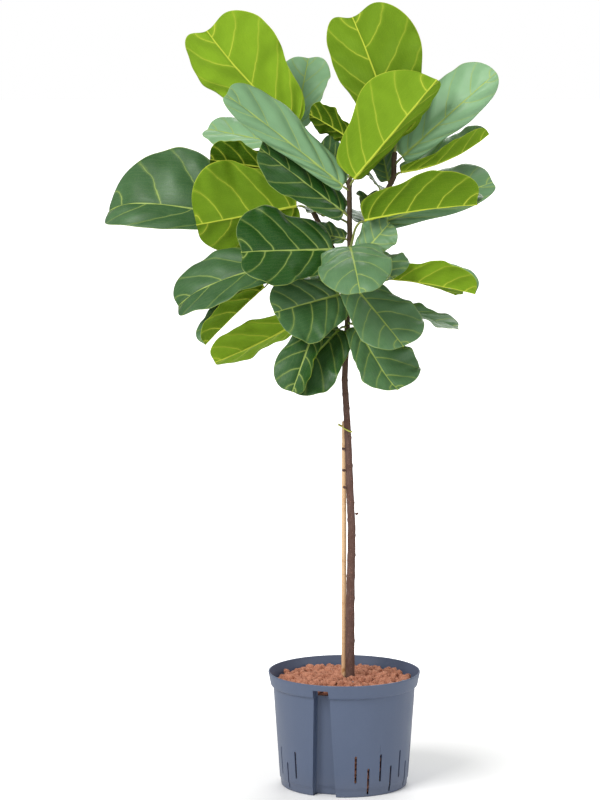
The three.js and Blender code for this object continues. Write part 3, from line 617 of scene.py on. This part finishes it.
bamboo = Finish("dry_bamboo")
at = bamboo.place()
grain = bamboo.noise(bamboo.stretched(at, (1, 1, 0.03)), 1500.0, 4.0)
blotch = bamboo.noise(at, 45.0, 4.0)
straw = bamboo.blend(grain, (0.62, 0.38, 0.18), (0.88, 0.60, 0.36))
straw = bamboo.blend(bamboo.between(blotch, 0.55, 0.75), straw, (0.45, 0.20, 0.06))
ring = bamboo.sum("PINGPONG", bamboo.parts(at)["Z"], 0.0583)
straw = bamboo.blend(bamboo.between(ring, 0.0012, 0.0, 0.0, 0.25), straw, (0.26, 0.12, 0.05))
cane.data.materials.append(bamboo.done(
    straw, bamboo.between(grain, 0.2, 0.8, 0.45, 0.62), grain, bump=0.35, depth=0.0004))
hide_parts("support_cane")
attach(cane, "root")

# ---------------------------------------------------------------- plant tie
# A yellow-green plastic-covered wire, laid once round trunk and cane near the top of the cane,
# sloping, with its two ends twisted together on the left.
tie_height, cane_radius, wire_out = 0.594, 0.0040, 0.0012
trunk_at = stem_at("trunk", np.array([tie_height - GRANULE_TOP]))[0]
trunk_thick = float(stem_radius("trunk", tie_height - GRANULE_TOP)) + 0.0006
turn = np.linspace(0, 2 * np.pi, 97)
way = np.stack([np.cos(turn), np.sin(turn)], axis=-1)
# the loop is the outline round two circles: in each direction the farther of the two
reach_trunk = way @ trunk_at[:2] + trunk_thick
reach_cane = way @ cane_foot + cane_radius
near_trunk = (reach_trunk > reach_cane)[:, None]
loop = np.where(near_trunk, trunk_at[:2] + way * (trunk_thick + wire_out),
                cane_foot + way * (cane_radius + wire_out))
loop = np.concatenate([loop, (tie_height - 0.5 * (loop[:, 0] - cane_foot[0]))[:, None]], axis=1)
parts = [swept(loop, np.full((len(loop), 10), 0.00105), (0, 0, 1))]
along = np.linspace(0, 1, 30)[:, None]
for phase in (0, np.pi):
    turn = 14 * along + phase
    curl = 0.0011 * np.concatenate([0 * along, np.cos(turn), np.sin(turn)], axis=1)
    twist = np.array([-0.0050, 0.0090, tie_height + 0.0020]) + along * [-0.0052, -0.0060, 0.0035]
    twist = twist + curl
    parts.append(swept(twist, np.full((len(twist), 8), 0.00085), (0, 0, 1)))
tie = new_piece("plant_tie_wire", *joined(parts), smooth_angle=60)

covered = Finish("soft_green_plastic")
at = covered.place()
wear = covered.noise(at, 300.0, 3.0)
tie.data.materials.append(covered.done(
    covered.blend(wear, (0.42, 0.44, 0.045), (0.72, 0.74, 0.16)),
    covered.between(wear, 0.2, 0.8, 0.35, 0.55), wear, bump=0.3, depth=0.0003))
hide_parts("plant_tie")
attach(tie, "root")

# ---------------------------------------------------------------- leaves
# Leathery fiddle-shaped leaves on short stalks: a notched, wavy outline narrowed at the waist, a
# strong midrib that stands out below, side veins with the blade puffed up between them, dark and
# glossy above, matt and yellow-green below. Each grows from its own place on trunk or branch.

# lengths are in millimetres here, angles in degrees; a stalk is its length, heading and rise
row_keys = ("stem", "height", "stalk", "length", "width", "heading", "rise")
# a leaf's tone value, 0 dark to 1 light, is partly its own colour (young leaves lime) and mostly
# painted light: painted sheen on pale upper sides, painted shadow on leaves in shade and painted
# backlight on lime undersides
usual = dict(roll=0, bend=0, tip=0, lean=0, w=(1, 1), fold=(8, 8), curl=(0, 0), skew=0, egg=0.2,
             waist=0.12, notch=0.04, lobe=0.04, wave=4, phase=0.0, tone=0.35)
back = dict(bend=20, wave=5, tone=0.3)
leaves = [
    # top left, its underside to the front
    ("left", 880, (26, -60, 60), 236, 160, -88, 41, dict(roll=75, bend=-8, tip=-10, lean=-12,
     w=(1.05, 0.9), fold=(4, 14), curl=(0, 20), skew=0.12, egg=0.28, notch=0.1, lobe=0, wave=5,
     phase=0.2, tone=0.68)),
    # top right, its underside to the front
    ("right", 863, (25, 0, 70), 232, 158, -90, 75, dict(roll=82, bend=-12, lean=12, w=(1.1, 0.8),
     curl=(0, 10), skew=0.1, notch=0.1, lobe=0, wave=5, phase=0.6, tone=0.42)),
    # long one across the front of the left branch
    ("trunk", 803, (16, -60, 35), 252, 122, -78, 40, dict(roll=-50, bend=5, w=(0.42, 0.88),
     fold=(-10, 5), curl=(-140, 0), wave=3, tone=0.72)),
    # middle, folded, underside to the front
    ("trunk", 811, (18, 40, 45), 222, 165, 66, 49, dict(roll=-75, bend=-10, tip=-30, w=(0.75, 1),
     fold=(65, 4), curl=(20, 0), skew=-0.35, tone=0.6)),
    # upper right
    ("right", 842, (20, 75, 45), 205, 130, 82, 43, dict(roll=50, bend=2, w=(1, 0.5), fold=(4, -20),
     curl=(0, -110), notch=0, tone=0.95)),
    # right, folded like a gutter
    ("right", 824, (14, 75, 30), 165, 95, 95, 6, dict(bend=-36, w=(1, 0.65), fold=(35, 55), egg=0.3,
     tone=0.6)),
    # long right one, underside to the front
    ("trunk", 712, (55, 50, 55), 205, 120, 76, 14, dict(roll=-10, bend=10, w=(0.8, 1.05), fold=(35,
     65), notch=0.08, tone=0.28)),
    # behind the long right one
    ("right", 735, (28, 95, 30), 205, 140, 100, 19, dict(roll=35, w=(1, 0.4), fold=(0, -20),
     curl=(0, -50), tone=0.5)),
    # deep shade under leaf 3
    ("trunk", 760, (14, -80, 40), 180, 115, -80, 38, dict(roll=-32, fold=(0, 10), curl=(-20, 0),
     wave=3, tone=0.05)),
    # left, underside to the front
    ("left", 766, (26, -95, 14), 175, 165, -95, -11, dict(roll=85, w=(1.15, 0.75), fold=(5, 20),
     wave=5, tone=0.4)),
    # large, left of the trunk
    ("trunk", 701, (30, -72, 15), 180, 150, -62, 2, dict(roll=-50, tip=10, w=(0.95, 1.05),
     skew=-0.15, notch=0.08, wave=5, tone=0)),
    # drooping to the front
    ("trunk", 710, (30, 0, 10), 175, 122, 3, -4, dict(roll=8, bend=28, tip=20, fold=(4, 4),
     curl=(-14, -14), egg=0, tone=0.38)),
    # right, behind the drooping one
    ("trunk", 688, (30, 60, 10), 66, 105, 50, -16, dict(roll=15, bend=20, tone=0.3)),
    # upright, right of the trunk
    ("trunk", 700, (22, 60, 2), 72, 66, 95, 48, dict(roll=60, wave=3, tone=0.5)),
    # lower left of the trunk
    ("trunk", 632, (18, -50, 10), 132, 130, -56, -8, dict(roll=-55, bend=5, w=(1.1, 0.75),
     tone=0.18)),
    # lower right of the trunk
    ("trunk", 647, (12, 45, 10), 158, 114, 38, -32, dict(roll=20, bend=5, w=(1.05, 0.95), curl=(-8,
     -8), tone=0.38)),
    # lower right, underside to the front
    ("trunk", 650, (60, 98, 8), 158, 92, 78, -2, dict(roll=-10, bend=12, fold=(60, 56), tone=0.6)),
    # lower right, nearly edge-on
    ("trunk", 616, (40, 90, 5), 152, 85, 92, -14, dict(roll=10, bend=5, tone=0.4)),
    # lowest right, hanging
    ("trunk", 588, (22, 45, -15), 140, 112, 45, -49, dict(roll=15, bend=-5, tip=-30, w=(1.15, 0.85),
     wave=5, tone=0.34)),
    # lowest left, hanging
    ("trunk", 582, (18, -45, -10), 145, 112, -50, -36, dict(roll=-40, bend=5, w=(1.05, 0.65),
     fold=(10, 8), tone=0.1)),
    # small, margin rolled, before the lowest left one
    ("trunk", 595, (70, -48, -5), 122, 92, -38, -58, dict(roll=-30, bend=5, w=(0.9, 0.9), curl=(100,
     0), wave=3, tone=0.05)),
    # lower left, underside to the front
    ("trunk", 614, (55, -100, -10), 195, 90, -103, -33, dict(roll=50, lean=-15, fold=(10, 30),
     tone=0.65)),
    # left, folded like a gutter
    ("trunk", 667, (140, -85, -8), 145, 80, -60, -36, dict(bend=5, fold=(70, 30), tone=0.3)),
    # left, wavy
    ("trunk", 690, (60, -90, 5), 248, 125, -82, -8, dict(roll=-30, bend=22, tip=30, wave=5,
     tone=0.15)),
    # farthest left
    ("left", 740, (99, -128, 3), 292, 190, -96, 7, dict(roll=-50, tip=60, w=(0.55, 1.1), skew=-0.35,
     notch=0, wave=5, tone=0.15)),
    # behind, upper left
    ("left", 815, (50, -98, 20), 110, 90, -97, 8, dict(roll=50, tone=0)),
    # behind, upper left
    ("left", 858, (40, -120, 20), 145, 80, -116, 8, dict(roll=-30, tone=0.95)),
    # behind the two top leaves
    ("left", 878, (28, -140, 50), 142, 88, 165, 52, dict(tone=1)),
    # behind leaf 4
    ("trunk", 822, (64, 160, 77), 88, 80, -115, 32, dict(roll=50, bend=10, tone=0.1)),
    # small, between leaf 3 and leaf 4
    ("trunk", 807, (30, -150, 40), 90, 64, -146, 34, dict(roll=-60, bend=10, tone=0.1)),
    # small, behind leaf 4
    ("right", 794, (20, -160, 20), 90, 58, -178, 5, dict(roll=40, bend=10, tone=0.1)),
    # very young, on the right branch
    ("right", 755, (16, -160, 30), 44, 50, -175, 45, dict(bend=10, fold=(40, 40), wave=3,
     tone=0.1)),
    # young, on the right branch
    ("right", 810, (14, -170, 30), 75, 50, -165, 46, dict(roll=-40, bend=10, wave=3, tone=0.4)),
    # young, left of the trunk
    ("trunk", 750, (25, -120, 20), 60, 45, -115, 15, dict(roll=-10, wave=3, tone=0.1)),
    # young, left of the trunk
    ("trunk", 718, (16, -150, 20), 60, 50, -108, 10, dict(roll=-40, wave=3, tone=0.1)),
    # the rest are at the back of the crown
    ("trunk", 658, (30, 175, 20), 180, 115, 175, 5, back),
    ("trunk", 605, (30, -165, 10), 170, 105, -165, -5, back),
    ("right", 735, (36, 170, 15), 180, 95, 178, 8, back),
    ("left", 708, (35, -150, 20), 185, 125, -152, 5, dict(bend=25, wave=5, tone=0.3)),
    ("left", 795, (35, -165, 20), 190, 125, -165, 20, back),
    ("trunk", 818, (42, 130, 55), 170, 90, 160, 35, back),
    ("trunk", 652, (60, 140, 5), 175, 90, 120, -4, back),
    ("trunk", 615, (40, -140, 25), 170, 105, -138, 12, back),
]


def heading_rise(heading, rise):
    """Unit vector: heading 0 is -Y and 90 is +X; rise is the angle above the horizontal."""
    h, e = math.radians(heading), math.radians(rise)
    return np.array([math.cos(e) * math.sin(h), -math.cos(e) * math.cos(h), math.sin(e)])


def flat_blade(leaf, t, r):
    """Flat place of the point at a share r out along the side vein that meets the margin at t.

    With u = sin(pi t / 2)^2 the margin is x = length * (u - notch - lobe), where notch and lobe are
    bell curves at the tip and the base, and y = width / 2 * sin(pi t)^(0.61 + 0.34 u) *
    (1 + egg (2u - 1)), less a bell curve at the waist. The vein starts on the midrib at
    length * (1 - notch) * sin(pi t / 2)^3.2 and is drawn back by 0.22 y r (1 - r).
    """
    u = np.sin(np.pi * t / 2) ** 2
    notch = leaf["notch"] * np.exp(-((1 - t) / 0.095) ** 2)
    lobe = leaf["lobe"] * np.exp(-((t - 0.157) / 0.095) ** 2)
    x_edge = leaf["length"] * (u - notch - lobe)
    y_edge = 0.5 * leaf["width"] * np.clip(np.sin(np.pi * t), 0, 1) ** (0.61 + 0.34 * u)
    y_edge = y_edge * (1 + leaf["egg"] * (2 * u - 1))
    y_edge = y_edge * (1 - leaf["waist"] * np.exp(-((u - 0.34) / 0.16) ** 2))
    root = leaf["length"] * (1 - leaf["notch"]) * np.sin(np.pi * t / 2) ** 3.2
    return root + (x_edge - root) * r - 0.22 * y_edge * r * (1 - r), y_edge * r


def midrib(leaf):
    """The leaf's middle line as (share along, place, side, above): an arc whose pitch is
    bend * u + tip * ((u - 0.55) / 0.45)^2 and whose yaw is lean * u, summed step by step."""
    along = heading_rise(leaf["heading"], leaf["rise"])
    level = np.array([0, 0, 1.0]) - along[2] * along
    level /= np.linalg.norm(level)
    aside = np.cross(along, level)
    roll = math.radians(leaf["roll"])
    above = level * math.cos(roll) + aside * math.sin(roll)
    side = np.cross(along, above)
    u = np.linspace(-0.3, 1.3, 321)
    drooping = np.clip((u - 0.55) / 0.45, 0, 2) ** 2
    pitch = np.radians(leaf["bend"] * u + leaf["tip"] * drooping)[:, None]
    yaw = np.radians(leaf["lean"] * u)[:, None]
    level = np.cos(yaw) * along + np.sin(yaw) * side
    ahead = np.cos(pitch) * level - np.sin(pitch) * above
    up = np.sin(pitch) * level + np.cos(pitch) * above
    place = np.cumsum(ahead, axis=0) * (u[1] - u[0]) * leaf["length"]
    place -= place[np.argmin(np.abs(u))]
    return u, place, np.cross(ahead, up), up


VEIN_FIRST, VEIN_STEP, VEIN_SHIFT, VEIN_ARCH = 0.10, 0.150, 0.025, 0.11


def blade_surface(leaf, base, t, q):
    """Middle surface of the blade for t along and q = -1..1 across: places and upward directions.

    Half the blade is tilted by its fold and turned on by its curl in proportion to y, so the cross
    section is an arc. Onto that go the margin's wave, wave * y^2 * sin(2 pi (2.5 x + phase)) with
    a finer ripple of 0.3 at 6.3 x, and the puffing between side veins, (sin^2 of the place between
    two veins)^0.7. A side vein runs along t = its place on the midrib + VEIN_ARCH * r^1.3.
    """
    side = np.where(q < 0, -1.0, 1.0)
    half = (q >= 0).astype(int)
    r = np.abs(q)
    x, y = flat_blade(leaf, t, r)
    y = y * np.array(leaf["w"])[half]
    length, width = leaf["length"], leaf["width"] / 2
    x = x + leaf["skew"] * side * y * np.clip(x / length, 0, 1) ** 2
    u, places, sides, ups = midrib(leaf)
    share = np.clip(x / length, -0.3, 1.3)
    place, sideways, up = (np.stack([np.interp(share, u, v[:, k]) for k in range(3)], axis=-1)
                           for v in (places, sides, ups))
    fold = np.radians(leaf["fold"])[half]
    curl = np.radians(leaf["curl"])[half]
    curl = np.where(np.abs(curl) < 1e-4, 1e-4, curl)
    angle = fold + curl * y / width
    out = (np.sin(angle) - np.sin(fold)) / curl * width
    high = (np.cos(fold) - np.cos(angle)) / curl * width
    middle = np.clip(x / length, 0, 1)
    calm = 0.2 + 0.8 * np.sqrt(np.sin(np.pi * middle))
    wave = leaf["wave"] / 1000 * np.clip(y / width, 0, 1.2) ** 2 * calm
    ripple = 0.3 * np.sin(2 * np.pi * (6.3 * x / length + 2.1 * leaf["phase"] + 0.4 * half))
    wave = wave * (np.sin(2 * np.pi * (2.5 * x / length + leaf["phase"] + 0.9 * half)) + ripple)
    along = t + VEIN_SHIFT * side - VEIN_ARCH * r ** 1.3 - VEIN_FIRST
    between = np.sin(np.pi * along / VEIN_STEP) ** 2
    puff = between ** 0.7 * np.sin(np.pi * np.clip(0.04 + 0.96 * r, 0, 1)) ** 0.8
    puff = 0.0170 * length * puff * np.clip(np.sin(np.pi * t) * 1.6, 0, 1)
    gutter = -0.0010 * np.exp(-(y / 0.004) ** 2)
    lift = (wave + puff + gutter)[..., None]
    facing = -np.sin(angle)[..., None] * side[..., None] * sideways + np.cos(angle)[..., None] * up
    place = base + place + side[..., None] * out[..., None] * sideways + high[..., None] * up
    return place + lift * facing, facing, x, y * side


def blade_finish(name, shaded_to_lit_colours, vein_colour, raised, roughness, gloss):
    """Leaf blade material. Vein distances come from the blade's own fields: midrib from y, side
    veins from the distance of t - VEIN_ARCH * r^1.3 to the nearest of their evenly spaced values,
    ladder veins from lines of equal y 7 mm apart, and the net from the edges of small cells."""
    finish = Finish(name)
    t, q, seed = (finish.parts(finish.field("blade"))[k] for k in "XYZ")
    flat = finish.field("flat")
    x, y, pace = (finish.parts(flat)[k] for k in "XYZ")
    out = finish.sum("ABSOLUTE", q)
    plane = finish.node("ShaderNodeCombineXYZ", X=x, Y=y, Z=finish.times(seed, 3.0)).outputs[0]
    wobble = finish.sum("MULTIPLY_ADD", finish.noise(plane, 28.0, 2.0), 0.036, -0.018)
    arch = finish.times(finish.sum("POWER", out, 1.3), VEIN_ARCH)
    shifted = finish.sum("ADD", finish.sum("SUBTRACT", t, arch), wobble)
    shifted = finish.sum("MULTIPLY_ADD", finish.sum("SIGN", q), VEIN_SHIFT, shifted)
    turn = finish.sum("DIVIDE", finish.sum("SUBTRACT", shifted, VEIN_FIRST), VEIN_STEP)
    turn = finish.sum("ADD", turn, 0.5)
    off = finish.sum("ABSOLUTE", finish.sum("SUBTRACT", finish.sum("FRACT", turn), 0.5))
    lateral = finish.times(finish.times(off, VEIN_STEP), pace)
    thick = finish.between(out, 0.0, 1.0, 0.00080, 0.00018)
    side_vein = finish.between(finish.sum("DIVIDE", lateral, thick), 1.5, 0.7)
    side_vein = finish.times(side_vein, finish.between(out, 0.97, 0.88))
    thick = finish.between(t, 0.0, 1.0, 0.0026, 0.0007)
    middle = finish.between(finish.sum("DIVIDE", finish.sum("ABSOLUTE", y), thick), 1.2, 0.7)
    rung = finish.sum("DIVIDE", y, 0.007)
    rung = finish.sum("MULTIPLY_ADD", finish.noise(plane, 55.0, 2.0), 1.1, rung)
    rung = finish.sum("ABSOLUTE", finish.sum("SUBTRACT", finish.sum("FRACT", rung), 0.5))
    ladder = finish.between(rung, 0.45, 0.5)
    net = finish.between(finish.cells(plane, 300.0, "DISTANCE_TO_EDGE"), 0.07, 0.0)
    main = finish.most(middle, side_vein)
    fine = finish.most(finish.times(ladder, 0.6), finish.times(net, 0.25))
    veins = finish.most(main, finish.times(fine, 0.5))
    margin = finish.between(out, 0.982, 0.994)
    cloud = finish.noise(plane, 16.0, 3.0)
    # painted light: the leaf's tone value, mostly painted sheen, shadow and backlight, plus a cloud
    # of its own mottle, moves the colour from the dark to the light colour
    tone = finish.tone()
    share = finish.sum("ADD", tone, finish.sum("MULTIPLY_ADD", cloud, 0.44, -0.22), clamp=True)
    colour = finish.blend(share, *shaded_to_lit_colours)
    halo = finish.between(lateral, 0.0040, 0.0, 0.0, 0.20)
    colour = finish.blend(halo, colour, vein_colour)
    colour = finish.blend(finish.times(fine, 0.16), colour, vein_colour)
    drawn = finish.most(finish.times(middle, 0.9),
                       finish.times(finish.most(side_vein, margin), 0.62))
    colour = finish.blend(drawn, colour, vein_colour)
    grain = finish.noise(plane, 600.0, 2.0)
    colour = finish.blend(finish.between(grain, 0.3, 0.8, 0.0, 0.07), colour, vein_colour)
    relief = finish.times(veins, 1.0 if raised else -0.6)
    relief = finish.sum("ADD", relief, finish.times(grain, 0.07))
    sheen = finish.between(finish.noise(plane, 30.0, 3.0), 0.25, 0.75, roughness[0], roughness[1])
    return finish.done(colour, sheen, relief, bump=0.7, depth=0.0009, **gloss)


# each side's colours run from a dark green, the leaf's own colour darkened with painted shade, to a
# pale green with painted light: painted sheen above, painted backlight below
upper_finish = blade_finish(
    "leaf_upper_side", ((0.004, 0.056, 0.004), (0.230, 0.420, 0.225)), (0.36, 0.48, 0.11), False,
    (0.34, 0.48), dict(Specular_IOR_Level=0.30))
lower_finish = blade_finish(
    "leaf_lower_side", ((0.026, 0.085, 0.0005), (0.250, 0.430, 0.020)), (0.54, 0.62, 0.06), True,
    (0.55, 0.70), dict(Specular_IOR_Level=0.08))
stalk_finish = Finish("leaf_stalk_skin")
at = stalk_finish.place()
streak = stalk_finish.noise(stalk_finish.stretched(at, (1, 1, 0.4)), 240.0, 4.0)
stalk_finish = stalk_finish.done(
    stalk_finish.blend(streak, (0.13, 0.17, 0.035), (0.34, 0.36, 0.10)),
    stalk_finish.between(streak, 0.2, 0.8, 0.45, 0.65), streak, bump=0.4, depth=0.0005)

# points along a blade and on each side of its midrib, which is column SIDE
ROWS, SIDE = 96, 24
t_rows = np.concatenate([[0.0], np.linspace(0.012, 0.988, ROWS - 2), [1.0]])
q_side = np.linspace(0, 1, SIDE + 1) ** 1.35
q_columns = np.concatenate([-q_side[:0:-1], q_side])
T, Q = np.meshgrid(t_rows, q_columns, indexing="ij")
Q = np.where((T == 0) | (T == 1), 0.0, Q)
COLUMNS = len(q_columns)

for number, (*row, shape) in enumerate(leaves, start=1):
    leaf = {**usual, **dict(zip(row_keys, row)), **shape}
    for key in ("length", "width"):
        leaf[key] = leaf[key] / 1000
    reach, heading, rise = leaf["stalk"]
    reach = reach / 1000
    away = heading_rise(heading, rise)
    root = stem_at(leaf["stem"], leaf["height"] / 1000)
    base = root + away * reach
    middle, facing, x, y = blade_surface(leaf, base, T, Q)
    # how far apart two points are whose t differs by 1: turns a difference in t into a distance
    vein_way = np.stack([np.gradient(x, axis=1), np.gradient(y, axis=1)], axis=-1)
    vein_way /= np.linalg.norm(vein_way, axis=-1, keepdims=True) + 1e-12
    step_way = np.stack([np.gradient(x, t_rows, axis=0), np.gradient(y, t_rows, axis=0)], axis=-1)
    pace = np.abs(step_way[..., 0] * vein_way[..., 1] - step_way[..., 1] * vein_way[..., 0])
    # the blade is 0.7 mm thick and 0.2 mm at the margin; the midrib is a ridge on the lower side
    thick = 0.00035 * (1 - 0.7 * np.abs(Q) ** 8)
    ridge = 0.0019 * (1 - 0.8 * T) * np.exp(-(y / 0.0017) ** 2)
    upper = middle + thick[..., None] * facing
    lower = middle - (thick + ridge)[..., None] * facing
    sheet = grid_faces(ROWS, COLUMNS)
    count = ROWS * COLUMNS
    edge = np.arange(ROWS - 1) * COLUMNS
    left = np.stack([edge, edge + COLUMNS, edge + COLUMNS + count, edge + count], axis=-1)
    far = edge + COLUMNS - 1
    right = np.stack([far + COLUMNS, far, far + count, far + COLUMNS + count], axis=-1)
    # the stalk: a cubic curve from inside the wood to the blade, then on under the midrib, thicker
    # where it leaves the wood and thinning towards its end
    k = np.linspace(0, 1, 22)[:, None]
    start = root + away * float(stem_radius(leaf["stem"], leaf["height"] / 1000)) * 0.5
    leaving = start + 0.3 * reach * away
    along = heading_rise(leaf["heading"], leaf["rise"])
    arriving = base - 0.4 * reach * along
    path = ((1 - k) ** 3 * start + 3 * (1 - k) ** 2 * k * leaving + 3 * (1 - k) * k ** 2 * arriving
            + k ** 3 * base)
    under = lower[1:ROWS // 6, SIDE] + 0.0006 * facing[1:ROWS // 6, SIDE]
    path = np.concatenate([path[:-1], under[::3]])
    far_along = np.linspace(0, 1, len(path))[:, None]
    bulge = 1 + 0.5 * np.exp(-(far_along / 0.12) ** 2)
    slim = 0.0019 * bulge * np.clip((1.02 - far_along) / 0.35, 0.15, 1)
    stalk_points, stalk_faces = swept(path, slim * np.ones((1, 12)), facing[1, SIDE])
    points = np.concatenate([upper.reshape(-1, 3), lower.reshape(-1, 3), stalk_points])
    rest = len(stalk_points)
    pad = np.zeros((rest, 3))
    seed = (number * 0.37) % 1.0
    fields = np.stack([T, Q, np.full_like(T, seed)], axis=-1).reshape(-1, 3)
    flat = np.stack([x, y, pace], axis=-1).reshape(-1, 3)
    # both sheets carry the leaf's tone value, partly its own colour and mostly painted light
    tone = np.concatenate([np.full(2 * count, leaf["tone"]), np.zeros(rest)])
    faces = np.concatenate([sheet, left, right, sheet[:, ::-1] + count, stalk_faces + 2 * count])
    paint = np.repeat([0, 1, 2], [len(sheet), 2 * len(left) + len(sheet), len(stalk_faces)])
    piece = new_piece(f"leaf_{number:02d}_blade", points, faces, smooth_angle=180, paint=paint,
                      blade=np.concatenate([fields, fields, pad]),
                      flat=np.concatenate([flat, flat, pad]), tone=tone)
    for finish in (upper_finish, lower_finish, stalk_finish):
        piece.data.materials.append(finish)
    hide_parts(f"leaf_{number:02d}")
    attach(piece, "root")
